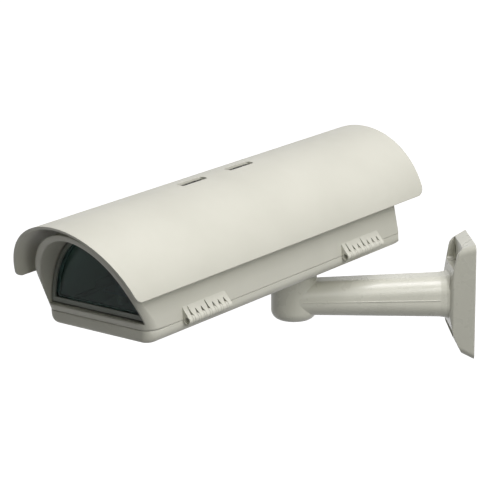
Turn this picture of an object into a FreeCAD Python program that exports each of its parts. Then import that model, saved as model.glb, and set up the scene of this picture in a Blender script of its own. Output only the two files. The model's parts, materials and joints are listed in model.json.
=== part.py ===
import FreeCAD, Part
import math
import os
import re
import Sketcher
from FreeCAD import Placement, Rotation, Vector

# Fixed camera housing on a wall bracket, in millimetres.
# Bracket frame: origin on the wall plate's back face, -Y out from the wall, +Z up.
# Swivel frame: origin on the tilt axis, X along that axis.
# Housing frame: origin at the middle of the front lower edge of the cover, on the split plane,
# X towards the hinge side, Y backwards along the housing, Z up.

SIZES = [
    # Stored pose, in degrees, and the places of the two head axes
    ("pan_rest", 46.8),
    ("tilt_rest", 4.0),
    ("reach", 173.0),
    ("pivot_level", 27.8),
    ("pivot_back", 271.0),
    ("pivot_drop", 24.5),
    # Wall plate
    ("plate_half_width", 38.5),
    ("plate_half_height", 57.0),
    ("plate_depth", 23.5),
    ("plate_side_lean", 13.5),
    ("plate_end_lean", 10.0),
    ("plate_corner", 6.0),
    ("plate_edge_round", 13.0),
    ("plate_top_depth", 6.0),
    ("brow_depth", 16.6),
    ("brow_level", 47.0),
    ("brow_round", 12.0),
    ("chin_depth", 19.6),
    ("chin_level", 34.0),
    ("chin_round", 14.0),
    ("plate_foot_depth", 8.8),
    ("wall_hole_offset", 41.5),
    ("wall_hole_side", 19.5),
    ("wall_hole_radius", 4.5),
    ("pocket_half_width", 26.0),
    ("upper_floor", 11.7),
    ("lower_floor", 11.7),
    ("pocket_start", 30.0),
    ("pocket_corner", 3.0),
    # Arm
    ("arm_half_width", 22.2),
    ("arm_half_root", 20.3),
    ("arm_half_tip", 16.2),
    ("arm_round", 15.0),
    ("flare_start", 31.0),
    ("flare_end", 19.0),
    ("flare_growth", 5.0),
    ("ridge_height", 0.8),
    ("ridge_out", 0.3),
    ("ridge_level", 1.0),
    ("channel_half_width", 14.0),
    ("channel_half_height", 10.0),
    ("channel_end", 12.0),
    ("outlet_radius", 8.0),
    ("outlet_reach", 126.0),
    # Bracket head
    ("head_radius", 22.5),
    ("head_bottom", 22.3),
    ("head_top", 22.0),
    ("head_round", 10.0),
    ("recess_radius", 20.0),
    ("recess_floor", 13.0),
    ("spigot_radius", 8.0),
    ("spigot_fit", 0.06),
    ("spigot_floor", 1.0),
    ("bolt_radius", 4.0),
    ("bolt_seat", 12.5),
    ("bolt_well_radius", 8.2),
    ("lock_radius", 3.0),
    ("lock_level", 6.5),
    # Swivel, tilt bolt and foot
    ("disc_radius", 19.7),
    ("disc_top", 8.3),
    ("ear_radius", 7.0),
    ("ear_inner", 6.3),
    ("ear_outer", 13.0),
    ("tilt_bolt_radius", 3.0),
    ("lug_half_width", 6.0),
    ("foot_half_width", 20.5),
    ("foot_thickness", 4.0),
    ("foot_corner", 5.0),
    ("foot_screw_offset", 13.5),
    ("foot_screw_radius", 2.5),
    # Base tray
    ("shell_half", 64.5),
    ("shell_rear", 365.0),
    ("corner_round", 4.5),
    ("rear_round", 13.0),
    ("split_gap", 0.2),
    ("tray_drop", 12.6),
    ("tray_side_round", 9.5),
    ("tray_front_round", 5.0),
    ("tray_rear_round", 17.0),
    ("tray_wall", 4.5),
    ("tray_floor", 3.0),
    ("seal_inset", 1.2),
    ("seal_width", 2.0),
    ("seal_depth", 1.7),
    # Cover
    ("cover_rise", 83.0),
    ("cover_centre", 2.2),
    ("cover_wall", 3.0),
    ("cover_rake", 0.379),
    ("rear_rake", 0.2),
    ("bead_height", 3.0),
    ("bezel_depth", 5.0),
    ("opening_inset", 5.9),
    ("opening_sill", 6.4),
    # Window
    ("window_face", 1.5),
    ("frame_inset", 7.7),
    ("frame_sill", 8.2),
    ("frame_lip_inset", 11.1),
    ("frame_lip_sill", 12.7),
    ("frame_lip", 1.9),
    ("frame_flange_inset", 3.5),
    ("frame_flange_sill", 0.9),
    ("glass_inset", 9.6),
    ("glass_sill", 10.4),
    ("glass_thickness", 3.0),
    ("window_screw_level", 3.4),
    ("window_screw_margin", 14.5),
    ("window_screw_inner", 17.0),
    ("window_screw_radius", 1.5),
    # Sunshield
    ("shield_clear", 11.9),
    ("shield_centre", 19.35),
    ("shield_sheet", 2.5),
    ("shield_edge", 34.2),
    ("shield_nose", 22.6),
    ("shield_tail", 21.2),
    ("shield_corner", 9.0),
    ("slot_length", 34.0),
    ("slot_width", 9.8),
    ("slot_first", 132.3),
    ("slot_pitch", 65.0),
    ("boss_radius", 6.0),
    ("boss_side", 12.25),
    ("boss_front", 62.0),
    ("boss_rear", 65.0),
    ("pad_level", 74.0),
    ("shield_screw_radius", 2.0),
    ("thread_cover", 7.0),
    ("thread_spare", 1.25),
    # Hinges
    ("hinge_out", 4.3),
    ("hinge_level", -0.3),
    ("knuckle_radius", 3.9),
    ("hinge_front", 41.5),
    ("hinge_rear", 99.0),
    ("knuckle_pitch", 7.4),
    ("finger_width", 4.4),
    ("tongue_width", 2.4),
    ("web_height", 14.0),
    ("notch_half", 2.9),
    ("notch_top", 7.5),
    ("spike_top", 12.5),
    ("pin_radius", 2.0),
    ("pin_fit", 0.06),
    ("pin_recess", 5.0),
    ("mouth_radius", 2.7),
    # Closure lugs on the other side
    ("closure_front", 72.0),
    ("closure_rear", 75.0),
    ("closure_reach", 10.5),
    ("closure_screw_out", 4.7),
    ("closure_half_width", 7.5),
    ("closure_height", 10.0),
    ("closure_screw_radius", 2.5),
    # Camera slide, terminal board and cable glands
    ("slide_margin", 22.5),
    ("slide_front", 50.0),
    ("slide_end", 113.0),
    ("slide_level", 6.0),
    ("slide_thickness", 2.0),
    ("post_margin", 28.5),
    ("post_front", 70.0),
    ("post_rear", 133.0),
    ("post_radius", 5.0),
    ("slide_screw_radius", 2.0),
    ("camera_screw_back", 150.0),
    ("camera_screw_radius", 3.1),
    ("board_level", -3.0),
    ("board_left", 38.5),
    ("board_right", 30.5),
    ("board_front", 69.0),
    ("board_rear", 27.0),
    ("board_thickness", 1.6),
    ("board_screw_radius", 1.5),
    ("gland_margin", 22.5),
    ("gland_front", 67.0),
    ("gland_pitch", 27.0),
    ("gland_radius", 8.0),
    ("gland_hex", 11.8),
]

# Places that follow the housing's width and length
HINGE_X = "(shell_half + hinge_out)"
HINGE_FRONT, HINGE_REAR = "hinge_front", "(shell_rear - hinge_rear)"
CLOSURE_X = "(-shell_half - closure_screw_out)"
CLOSURES = (("front", "closure_front"), ("rear", "(shell_rear - closure_rear)"))
SHIELD_RADIUS = "(shell_half + shield_clear)"
SHIELD_REAR = "(shell_rear + shield_tail)"
THREAD_TOP = "(shield_centre + %s - thread_cover)" % SHIELD_RADIUS
SLIDE_HALF, SLIDE_END = "(shell_half - slide_margin)", "(shell_rear - slide_end)"
BOARD_LEFT, BOARD_RIGHT = "(board_left - shell_half)", "(shell_half - board_right)"
BOARD_FRONT, BOARD_REAR = "(shell_rear - board_front)", "(shell_rear - board_rear)"
GLAND_X = "(gland_margin - shell_half)"

NAMES = {name for name, value in SIZES}
TURNS = {"xy": Rotation(), "xz": Rotation(Vector(1, 0, 0), 90), "yz": Rotation(Vector(1, 1, 1), 120)}
NORMALS = {"xy": "z", "xz": "y", "yz": "x"}
ROD_TURNS = {"x": Rotation(Vector(0, 1, 0), 90), "y": Rotation(Vector(1, 0, 0), -90), "z": Rotation()}
ROD_SIDES = {"x": "yz", "y": "xz", "z": "xy"}

os.makedirs("parts", exist_ok=True)
doc = FreeCAD.newDocument("CameraHousing")
sheet = doc.addObject("Spreadsheet::Sheet", "Sizes")
nodes = []


def fill_sheet():
    for row, (name, value) in enumerate(SIZES, 1):
        sheet.set("A%d" % row, name)
        sheet.set("B%d" % row, str(value))
        sheet.setAlias("B%d" % row, name)
    doc.recompute()


def spell(formula):
    """Write each size name in a formula as a cell of the sheet."""
    return re.sub(r"[a-z_]+", lambda m: "Sizes." + m.group(0) if m.group(0) in NAMES else m.group(0), formula)


def worth(formula):
    return float(sheet.evalExpression(spell(formula)))


def bind(item, **formulas):
    for path, formula in formulas.items():
        item.setExpression(path.replace("__", "."), spell(formula))
    return item


def box(name, x, y, z):
    """A block between two formulas along each axis."""
    item = doc.addObject("Part::Box", name)
    for side, low, high in (("Length", *x), ("Width", *y), ("Height", *z)):
        item.setExpression(side, spell("(%s) - (%s)" % (high, low)))
    return bind(item, Placement__Base__x=x[0], Placement__Base__y=y[0], Placement__Base__z=z[0])


def rod(name, along, radius, start, end, side, other):
    """A cylinder along an axis, centred on the two other coordinates."""
    item = doc.addObject("Part::Cylinder", name)
    item.Placement = Placement(Vector(), ROD_TURNS[along])
    item.setExpression("Placement.Base." + along, spell(start))
    item.setExpression("Placement.Base." + ROD_SIDES[along][0], spell(side))
    item.setExpression("Placement.Base." + ROD_SIDES[along][1], spell(other))
    return bind(item, Radius=radius, Height="(%s) - (%s)" % (end, start))


def cone(name, low_radius, high_radius, low, high, x, y):
    """An upright cone between two levels."""
    item = doc.addObject("Part::Cone", name)
    bind(item, Radius1=low_radius, Radius2=high_radius, Height="(%s) - (%s)" % (high, low))
    return bind(item, Placement__Base__x=x, Placement__Base__y=y, Placement__Base__z=low)


def hexagon(name, along, radius, start, end, side, other):
    """A hexagonal bar along an axis; the radius is to its corners."""
    item = doc.addObject("Part::Prism", name)
    item.Polygon = 6
    item.Placement = Placement(Vector(), ROD_TURNS[along])
    item.setExpression("Placement.Base." + along, spell(start))
    item.setExpression("Placement.Base." + ROD_SIDES[along][0], spell(side))
    item.setExpression("Placement.Base." + ROD_SIDES[along][1], spell(other))
    return bind(item, Circumradius=radius, Height="(%s) - (%s)" % (end, start))


def cut(name, base, *tools):
    item = doc.addObject("Part::Cut", name)
    item.Base = base
    item.Tool = tools[0] if len(tools) == 1 else fuse(name + "_tools", *tools)
    return item


def fuse(name, *items):
    item = doc.addObject("Part::MultiFuse", name)
    item.Shapes = list(items)
    return item


def common(name, *items):
    item = doc.addObject("Part::MultiCommon", name)
    item.Shapes = list(items)
    return item


def group(name, *items):
    """Separate solids that make one sub-part, such as a set of screws."""
    item = doc.addObject("Part::Compound", name)
    item.Links = list(items)
    return item


def corner_turn(points, index):
    """Directions from a corner to its two neighbours, and half the angle between them."""
    before = (points[index - 1] - points[index]).normalize()
    after = (points[(index + 1) % len(points)] - points[index]).normalize()
    return before, after, before.getAngle(after) / 2


def turns_right(points):
    """True when the corners run clockwise."""
    return sum(a.x * b.y - a.y * b.x for a, b in zip(points, points[1:] + points[:1])) < 0


def outline(name, plane, level, corners):
    """A closed sketch through corners (across, up, radius or None) on a plane at a level."""
    sketch = doc.addObject("Sketcher::SketchObject", name)
    sketch.Placement = Placement(Vector(), TURNS[plane])
    sketch.setExpression("Placement.Base." + NORMALS[plane], spell(level))
    points = [Vector(worth(u), worth(v), 0) for u, v, radius in corners]
    if turns_right(points):
        points, corners = points[::-1], corners[::-1]
    radii = [worth(radius) if radius else 0 for u, v, radius in corners]
    count = len(points)
    arrive, leave = [], []
    for index in range(count):
        before, after, half = corner_turn(points, index)
        run = radii[index] / math.tan(half)
        arrive.append(points[index] + before * run)
        leave.append(points[index] + after * run)
    lines = [sketch.addGeometry(Part.LineSegment(leave[i], arrive[(i + 1) % count])) for i in range(count)]
    for index, (u, v, radius) in enumerate(corners):
        last, following = lines[index - 1], lines[index]
        held = following
        if radius:
            held = round_corner(sketch, points, index, radii[index], arrive, leave, last, following, radius)
        else:
            sketch.addConstraint(Sketcher.Constraint("Coincident", last, 2, following, 1))
        for kind, formula, value in (("DistanceX", u, points[index].x), ("DistanceY", v, points[index].y)):
            place = sketch.addConstraint(Sketcher.Constraint(kind, -1, 1, held, 1, value))
            sketch.setExpression("Constraints[%d]" % place, spell(formula))
    return sketch


def round_corner(sketch, points, index, radius, arrive, leave, last, following, formula):
    """Round one corner of an outline, and mark the sharp corner that it stands for."""
    before, after, half = corner_turn(points, index)
    centre = points[index] + (before + after).normalize() * (radius / math.sin(half))
    middle = centre + (points[index] - centre).normalize() * radius
    arc = sketch.addGeometry(Part.Arc(arrive[index], middle, leave[index]))
    forward = (sketch.Geometry[arc].StartPoint - arrive[index]).Length < 1e-6
    first, second = (1, 2) if forward else (2, 1)
    sketch.addConstraint(Sketcher.Constraint("Tangent", last, 2, arc, first))
    sketch.addConstraint(Sketcher.Constraint("Tangent", arc, second, following, 1))
    place = sketch.addConstraint(Sketcher.Constraint("Radius", arc, radius))
    sketch.setExpression("Constraints[%d]" % place, spell(formula))
    mark = sketch.addGeometry(Part.Point(points[index]), True)
    sketch.addConstraint(Sketcher.Constraint("PointOnObject", mark, 1, last))
    sketch.addConstraint(Sketcher.Constraint("PointOnObject", mark, 1, following))
    return mark


def extrude(name, sketch, direction, length):
    item = doc.addObject("Part::Extrusion", name)
    item.Base = sketch
    item.DirMode = "Custom"
    item.Dir = Vector(*direction)
    item.Solid = True
    return bind(item, LengthFwd=length)


def slab(name, plane, start, end, corners):
    """An outline given thickness between two levels."""
    axis = NORMALS[plane]
    direction = [1 if axis == letter else 0 for letter in "xyz"]
    return extrude(name, outline(name + "_outline", plane, start, corners), direction,
                   "(%s) - (%s)" % (end, start))


def loft(name, *sections):
    item = doc.addObject("Part::Loft", name)
    item.Sections = list(sections)
    item.Solid = True
    item.Ruled = True
    return item


def rectangle(half, front, rear, radius):
    """Corners of a rounded rectangle that is centred on x = 0."""
    left = "-(%s)" % half
    return [(left, front, radius), (half, front, radius), (half, rear, radius), (left, rear, radius)]


def tall_rectangle(half, bottom, top, radius):
    return rectangle(half, bottom, top, radius)


def arch(name, inset, start, end):
    """The cover's elliptical section, moved inwards by an inset, between two places along it."""
    ellipse = doc.addObject("Part::Ellipse", name + "_ellipse")
    ellipse.Placement = Placement(Vector(),
                                  Rotation(Vector(0, 0, 1), Vector(1, 0, 0), Vector(0, 1, 0), "XYZ"))
    bind(ellipse, MajorRadius="cover_rise - (%s)" % inset, MinorRadius="shell_half - (%s)" % inset)
    bind(ellipse, Placement__Base__y=start, Placement__Base__z="cover_centre")
    return extrude(name, ellipse, (0, 1, 0), "(%s) - (%s)" % (end, start))


def arch_above(name, inset, sill, start, end):
    """The part of an arch that lies above a sill."""
    reach = "shell_half + 5"
    window = box(name + "_above", ("-(%s)" % reach, reach), ("(%s) - 1" % start, "(%s) + 1" % end),
                 (sill, "120"))
    return common(name, arch(name + "_arch", inset, start, end), window)


def node(item, frame):
    """Finish a sub-part: place it in its frame and list it for export."""
    if frame != "wall":
        item.setExpression("Placement", frame_formula(frame))
    nodes.append(item)
    return item


def frame_formula(frame):
    upright = "rotation(vector(0; 0; 1); pan_rest)"
    head = "placement(vector(0; -reach; pivot_level); %s)" % upright
    if frame == "swivel":
        return spell(head)
    nod = "placement(vector(0; 0; 0); rotation(vector(1; 0; 0); tilt_rest))"
    shift = "placement(vector(0; -pivot_back; pivot_drop); rotation(vector(1; 0; 0); 0))"
    return spell("%s * %s * %s" % (head, nod, shift))


# Wall bracket

def wall_plate():
    """Plate with leaning sides and a convex front."""
    height, width = "plate_half_height", "plate_half_width"
    lower, narrower = "(%s - plate_end_lean)" % height, "%s - plate_side_lean" % width
    back = outline("plate_back", "xz", "0", tall_rectangle(width, "-" + height, height, "plate_corner"))
    front = outline("plate_front", "xz", "-plate_depth - 1",
                    tall_rectangle(narrower, "-" + lower, lower, "plate_corner"))
    side = [
        ("1", "%s + 1" % height, None),
        ("-plate_top_depth", "%s + 1" % height, None),
        ("-brow_depth", "brow_level", "brow_round"),
        ("-plate_depth", "arm_half_root / 2", None),
        ("-plate_depth", "-arm_half_root / 2", None),
        ("-chin_depth", "-chin_level", "chin_round"),
        ("-plate_foot_depth", "-%s - 1" % height, None),
        ("1", "-%s - 1" % height, None),
    ]
    bow = slab("plate_bow", "yz", "-plate_half_width - 1", "plate_half_width + 1", side)
    edge, rim = width + " + 1", width + " + 0.9 - plate_side_lean"
    plan = [
        ("-(%s)" % edge, "1", None),
        (edge, "1", None),
        (rim, "-plate_depth - 0.2", "plate_edge_round"),
        ("-(%s)" % rim, "-plate_depth - 0.2", "plate_edge_round"),
    ]
    edges = slab("plate_edges", "xy", "-%s - 2" % height, height + " + 2", plan)
    return common("plate_body", loft("plate_block", front, back), bow, edges)


def screw_pocket(name, sign, floor):
    """Recess for two wall screws, which runs out at the end of the plate's front, with their holes."""
    low, high = "%spocket_start" % sign, "%s(plate_half_height + 5)" % sign
    shape = [
        ("-pocket_half_width", low, "pocket_corner"),
        ("pocket_half_width", low, "pocket_corner"),
        ("pocket_half_width", high, None),
        ("-pocket_half_width", high, None),
    ]
    well = slab(name + "_well", "xz", "-plate_depth - 5", "-" + floor, shape)
    holes = [
        rod("%s_%s_hole" % (name, side), "y", "wall_hole_radius", "-plate_depth - 5", "1", across,
            "%swall_hole_offset" % sign)
        for side, across in (("left", "-wall_hole_side"), ("right", "wall_hole_side"))
    ]
    return [well] + holes


def arm_section(name, back, growth, half):
    """Rounded section of the arm at a distance from the wall, grown on every side."""
    tall = "%s + %s" % (half, growth)
    return outline(name, "xz", "-" + back,
                   tall_rectangle("arm_half_width + " + growth, "-(%s)" % tall, tall, "arm_round"))


def arm_body():
    """Tapered arm that flares into the wall plate along a quarter of an ellipse."""
    sections = [arm_section("arm_tip", "reach", "0", "arm_half_tip")]
    for index, share in enumerate((0, 0.5, 0.8, 0.95, 1)):
        back = "(flare_start + (flare_end - flare_start) * %g)" % share
        growth = "flare_growth * (1 - sqrt(1 - %g ^ 2))" % share
        sections.append(arm_section("arm_flare_%d" % index, back, growth, "arm_half_root"))
    sections.append(arm_section("arm_inside", "(flare_end - 8)", "flare_growth", "arm_half_root"))
    return loft("arm_run", *sections)


def head_body():
    """Upright round head with a rounded bottom."""
    barrel = rod("head_barrel", "z", "head_radius", "head_round - head_bottom", "head_top", "0", "-reach")
    side = [
        ("0", "-head_bottom", None),
        ("head_radius", "-head_bottom", "head_round"),
        ("head_radius", "head_round - head_bottom + 2", None),
        ("0", "head_round - head_bottom + 2", None),
    ]
    profile = outline("head_profile", "xz", "0", side)
    bowl = doc.addObject("Part::Revolution", "head_bowl")
    bowl.Source = profile
    bowl.Axis = Vector(0, 0, 1)
    bowl.Angle = 360
    bowl.Solid = True
    bind(bowl, Placement__Base__y="-reach")
    return fuse("head_solid", barrel, bowl)


def parting_ridge():
    """Fine raised line along the arm where the two halves of the die met."""
    low, high = "-ridge_level - ridge_height / 2", "ridge_height / 2 - ridge_level"
    half = "arm_half_width + ridge_out"
    return box("ridge_run", ("-(%s)" % half, half), ("8 - reach", "-flare_start"), (low, high))


def head_bores():
    """Seat, bearing and bolt well of the swivel, and the lock screw's hole."""
    seat = rod("head_seat", "z", "recess_radius", "recess_floor", "head_top + 1", "0", "-reach")
    bearing = rod("head_bearing", "z", "spigot_radius + spigot_fit", "spigot_floor - 0.5",
                  "recess_floor + 1", "0", "-reach")
    shank = rod("head_shank", "z", "bolt_radius + 0.4", "-bolt_seat - 1", "spigot_floor + 1", "0", "-reach")
    well = rod("head_well", "z", "bolt_well_radius", "-head_bottom - 1", "-bolt_seat", "0", "-reach")
    lock = rod("head_lock", "x", "lock_radius + 0.05", "-head_radius - 2", "1 - spigot_radius", "-reach",
               "lock_level")
    return [seat, bearing, shank, well, lock]


def cable_way():
    """Channel for the cables from the wall to an outlet under the arm."""
    shape = tall_rectangle("channel_half_width", "-channel_half_height", "channel_half_height", "6")
    way = slab("channel", "xz", "-outlet_reach - channel_end", "1", shape)
    outlet = rod("outlet", "z", "outlet_radius", "-arm_half_root - 2", "0", "0", "-outlet_reach")
    return [way, outlet]


def build_wall_bracket():
    solid = fuse("bracket_solid", wall_plate(), arm_body(), head_body(), parting_ridge())
    pockets = screw_pocket("upper", "", "upper_floor") + screw_pocket("lower", "-", "lower_floor")
    holes = pockets + head_bores() + cable_way()
    node(cut("wall_bracket", solid, *holes), "wall")


def build_cable_grommet():
    """Rubber bush that lines the outlet under the arm, held by its rim in the channel."""
    low, seat, top = "-arm_half_tip - 1", "-channel_half_height + 0.15", "-channel_half_height + 1.6"
    neck = rod("grommet_neck", "z", "outlet_radius - 0.1", low, seat + " + 0.5", "0", "-outlet_reach")
    rim = rod("grommet_rim", "z", "outlet_radius + 1.2", seat, top, "0", "-outlet_reach")
    hole = rod("grommet_hole", "z", "outlet_radius - 3", low + " - 1", top + " + 1", "0", "-outlet_reach")
    node(cut("cable_grommet", fuse("grommet_solid", neck, rim), hole), "wall")


def build_pan_lock_screw():
    screw = rod("lock_screw_body", "x", "lock_radius", "1.5 - head_radius", "-spigot_radius - 0.4",
                "-reach", "lock_level")
    socket = hexagon("lock_socket", "x", "1.7", "1 - head_radius", "5 - head_radius", "-reach", "lock_level")
    node(cut("pan_lock_screw", screw, socket), "wall")


# Swivel, in its own frame

def build_swivel():
    seat, foot = "recess_floor - pivot_level + 0.05", "spigot_floor - pivot_level"
    disc = rod("swivel_disc", "z", "disc_radius", seat, "-disc_top", "0", "0")
    spigot = rod("swivel_spigot", "z", "spigot_radius", foot, "-disc_top - 1", "0", "0")
    solids = [disc, spigot]
    for name, inner, outer in (("near", "ear_inner", "ear_outer"), ("far", "-ear_outer", "-ear_inner")):
        solids.append(rod(name + "_ear_top", "x", "ear_radius", inner, outer, "0", "0"))
        solids.append(box(name + "_ear_leg", (inner, outer), ("-ear_radius", "ear_radius"),
                          ("-disc_top - 1", "0")))
    bore = rod("swivel_bore", "z", "bolt_radius + 0.05", foot + " - 1", "-disc_top - 2", "0", "0")
    pivot = rod("ear_bore", "x", "tilt_bolt_radius + 0.1", "-ear_outer - 1", "ear_outer + 1", "0", "0")
    node(cut("swivel", fuse("swivel_solid", *solids), bore, pivot), "swivel")


def build_pan_bolt():
    under = "-bolt_seat - pivot_level - 1.5"
    head = rod("pan_bolt_head", "z", "bolt_radius * 1.6", under + " - 6.4", under, "0", "0")
    shank = rod("pan_bolt_shank", "z", "bolt_radius", under + " - 1", "-disc_top - 3", "0", "0")
    socket = hexagon("pan_bolt_socket", "z", "3.4", under + " - 7", under + " - 2.6", "0", "0")
    node(cut("pan_bolt", fuse("pan_bolt_solid", head, shank), socket), "swivel")


def build_pan_washer():
    low, high = "-bolt_seat - pivot_level - 1.45", "-bolt_seat - pivot_level - 0.05"
    disc = rod("washer_disc", "z", "bolt_well_radius - 0.4", low, high, "0", "0")
    hole = rod("washer_hole", "z", "bolt_radius + 0.3", low + " - 1", high + " + 1", "0", "0")
    node(cut("pan_washer", disc, hole), "swivel")


def build_tilt_bolt():
    head = rod("tilt_bolt_head", "x", "tilt_bolt_radius + 2", "ear_outer + 0.05", "ear_outer + 5.5", "0", "0")
    shank = rod("tilt_bolt_shank", "x", "tilt_bolt_radius", "-ear_outer - 5.6", "ear_outer + 1", "0", "0")
    socket = hexagon("tilt_bolt_socket", "x", "2.8", "ear_outer + 2.5", "ear_outer + 6", "0", "0")
    node(cut("tilt_bolt", fuse("tilt_bolt_solid", head, shank), socket), "swivel")


def build_tilt_nut():
    nut = hexagon("tilt_nut_body", "x", "tilt_bolt_radius * 1.9", "-ear_outer - 5", "-ear_outer - 0.05",
                  "0", "0")
    hole = rod("tilt_nut_hole", "x", "tilt_bolt_radius + 0.05", "-ear_outer - 6", "-ear_outer + 1", "0", "0")
    node(cut("tilt_nut", nut, hole), "swivel")


# Base of the housing, in the housing frame

def spots(across, along):
    """All pairs of a place across and a place along the housing."""
    return [(x, y) for x in across for y in along]


FOOT_SPOTS = spots(("-foot_screw_offset", "foot_screw_offset"),
                   ("pivot_back - foot_screw_offset", "pivot_back + foot_screw_offset"))
POST_SPOTS = spots(("-(shell_half - post_margin)", "(shell_half - post_margin)"),
                   ("post_front", "(shell_rear - post_rear)"))
BOARD_SPOTS = spots((BOARD_LEFT + " + 5", BOARD_RIGHT + " - 5"), (BOARD_FRONT + " + 5", BOARD_REAR + " - 5"))
GLAND_SPOTS = ["(shell_rear - gland_front)", "(shell_rear - gland_front + gland_pitch)"]


def build_tilt_foot():
    """Plate under the tray with the lug that turns between the swivel's ears."""
    low, high = "-tray_drop - foot_thickness", "-tray_drop - 0.05"
    shape = rectangle("foot_half_width", "pivot_back - foot_half_width", "pivot_back + foot_half_width",
                      "foot_corner")
    plate = slab("foot_plate", "xy", low, high, shape)
    lug = rod("foot_lug", "x", "ear_radius", "-lug_half_width", "lug_half_width", "pivot_back", "-pivot_drop")
    neck = box("foot_neck", ("-lug_half_width", "lug_half_width"),
               ("pivot_back - ear_radius", "pivot_back + ear_radius"), ("-pivot_drop", high + " - 1"))
    tools = [rod("foot_bore", "x", "tilt_bolt_radius + 0.08", "-lug_half_width - 1", "lug_half_width + 1",
                 "pivot_back",
                 "-pivot_drop")]
    for index, (x, y) in enumerate(FOOT_SPOTS):
        tools.append(rod("foot_hole_%d" % index, "z", "foot_screw_radius + 0.2", low + " - 1",
                         high + " + 1", x, y))
        tools.append(cone("foot_sink_%d" % index, "foot_screw_radius * 2", "foot_screw_radius", low,
                          low + " + 2.6", x, y))
    node(cut("tilt_foot", fuse("foot_solid", plate, lug, neck), *tools), "housing")


def build_foot_screws():
    low = "-tray_drop - foot_thickness + 0.15"
    screws = []
    for index, (x, y) in enumerate(FOOT_SPOTS):
        head = cone("foot_screw_head_%d" % index, "foot_screw_radius * 1.9", "foot_screw_radius * 0.95", low,
                    low + " + 2.5", x, y)
        shank = rod("foot_screw_shank_%d" % index, "z", "foot_screw_radius", low + " + 1",
                    "-tray_drop + 8.5", x, y)
        socket = hexagon("foot_screw_socket_%d" % index, "z", "1.7", low + " - 1", low + " + 1.8", x, y)
        screws.append(cut("foot_screw_%d" % index, fuse("foot_screw_solid_%d" % index, head, shank), socket))
    node(group("foot_screws", *screws), "housing")


def shell_plan(half, front, rear, front_round, back_round):
    """Plan of the housing, with its own rounding at each end."""
    return [
        ("-(%s)" % half, front, front_round),
        (half, front, front_round),
        (half, rear, back_round),
        ("-(%s)" % half, rear, back_round),
    ]


def tray_block():
    """Outside of the tray: its plan, its cross-section and its long section taken together."""
    plan = slab("tray_plan", "xy", "-tray_drop", "-split_gap",
                shell_plan("shell_half", "0", "shell_rear", "corner_round", "rear_round"))
    across = slab("tray_across", "xz", "-1", "shell_rear + 1", [
        ("-shell_half", "5", None),
        ("-shell_half", "-tray_drop", "tray_side_round"),
        ("shell_half", "-tray_drop", "tray_side_round"),
        ("shell_half", "5", None),
    ])
    along = slab("tray_along", "yz", "-shell_half - 1", "shell_half + 1", [
        ("0", "5", None),
        ("0", "-tray_drop", "tray_front_round"),
        ("shell_rear", "-tray_drop", "tray_rear_round"),
        ("shell_rear", "5", None),
    ])
    return common("tray_block", plan, across, along)


def tray_dish():
    """Shallow dish with a rounded outside and leaning inner walls."""
    mouth = shell_plan("shell_half - tray_wall", "tray_wall", "shell_rear - tray_wall", "corner_round",
                       "rear_round - 3")
    pan = shell_plan("shell_half - tray_side_round - 0.8", "tray_front_round + 3",
                     "shell_rear - tray_rear_round - 0.8",
                     "corner_round", "rear_round - 3")
    inside = loft("tray_inside", outline("tray_mouth", "xy", "0.2 - split_gap", mouth),
                  outline("tray_pan", "xy", "tray_floor - tray_drop", pan))
    return cut("tray_dish", tray_block(), inside)


def ring(name, low, high, inset, width):
    """A band that follows the rim of the tray."""
    bands = []
    for side, edge in (("outer", inset), ("inner", "%s + %s" % (inset, width))):
        plan = shell_plan("shell_half - (%s)" % edge, edge, "shell_rear - (%s)" % edge,
                          "corner_round - (%s)" % edge, "rear_round - (%s)" % edge)
        reach = "0" if side == "outer" else "1"
        bands.append(slab("%s_%s" % (name, side), "xy", "(%s) - %s" % (low, reach),
                          "(%s) + %s" % (high, reach), plan))
    return cut(name, *bands)


def comb(name, start, width, offset, count):
    """Blocks spaced along one hinge."""
    blocks = []
    for index in range(count):
        low = "%s + %s + knuckle_pitch * %d" % (start, offset, index)
        blocks.append(box("%s_%d" % (name, index), (HINGE_X + " - 9", HINGE_X + " + 6"),
                          (low, "%s + %s" % (low, width)), ("-20", "20")))
    return fuse(name, *blocks)


def hinge_length():
    return "knuckle_pitch * 7 + finger_width"


def hinge_barrel(name, start):
    end = "%s + %s" % (start, hinge_length())
    return rod(name, "y", "knuckle_radius", start, end, HINGE_X, "hinge_level")


def tray_tongues(name, start):
    """Tray side of one hinge: tongues that fill the gaps between the cover's fingers."""
    end = "%s + %s" % (start, hinge_length())
    web = slab(name + "_web", "xz", start, end, [
        ("shell_half - 3", "-split_gap", None),
        (HINGE_X, "hinge_level", None),
        (HINGE_X + " + knuckle_radius * 0.7", "hinge_level - knuckle_radius * 0.7", None),
        ("shell_half - 3", "-tray_drop + 4", None),
    ])
    gap = "(knuckle_pitch + finger_width - tongue_width) / 2"
    teeth = comb(name + "_comb", start, "tongue_width", gap, 7)
    return common(name, fuse(name + "_full", hinge_barrel(name + "_barrel", start), web), teeth)


def web_notch(name, middle, low, low_half, top):
    """Pointed notch in the web above one tongue."""
    shape = [
        ("%s - %s" % (middle, low_half), low, None),
        ("%s + %s" % (middle, low_half), low, None),
        ("%s + 0.3" % middle, top, None),
        ("%s - 0.3" % middle, top, None),
    ]
    return slab(name, "yz", "shell_half", HINGE_X + " + 6", shape)


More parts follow.
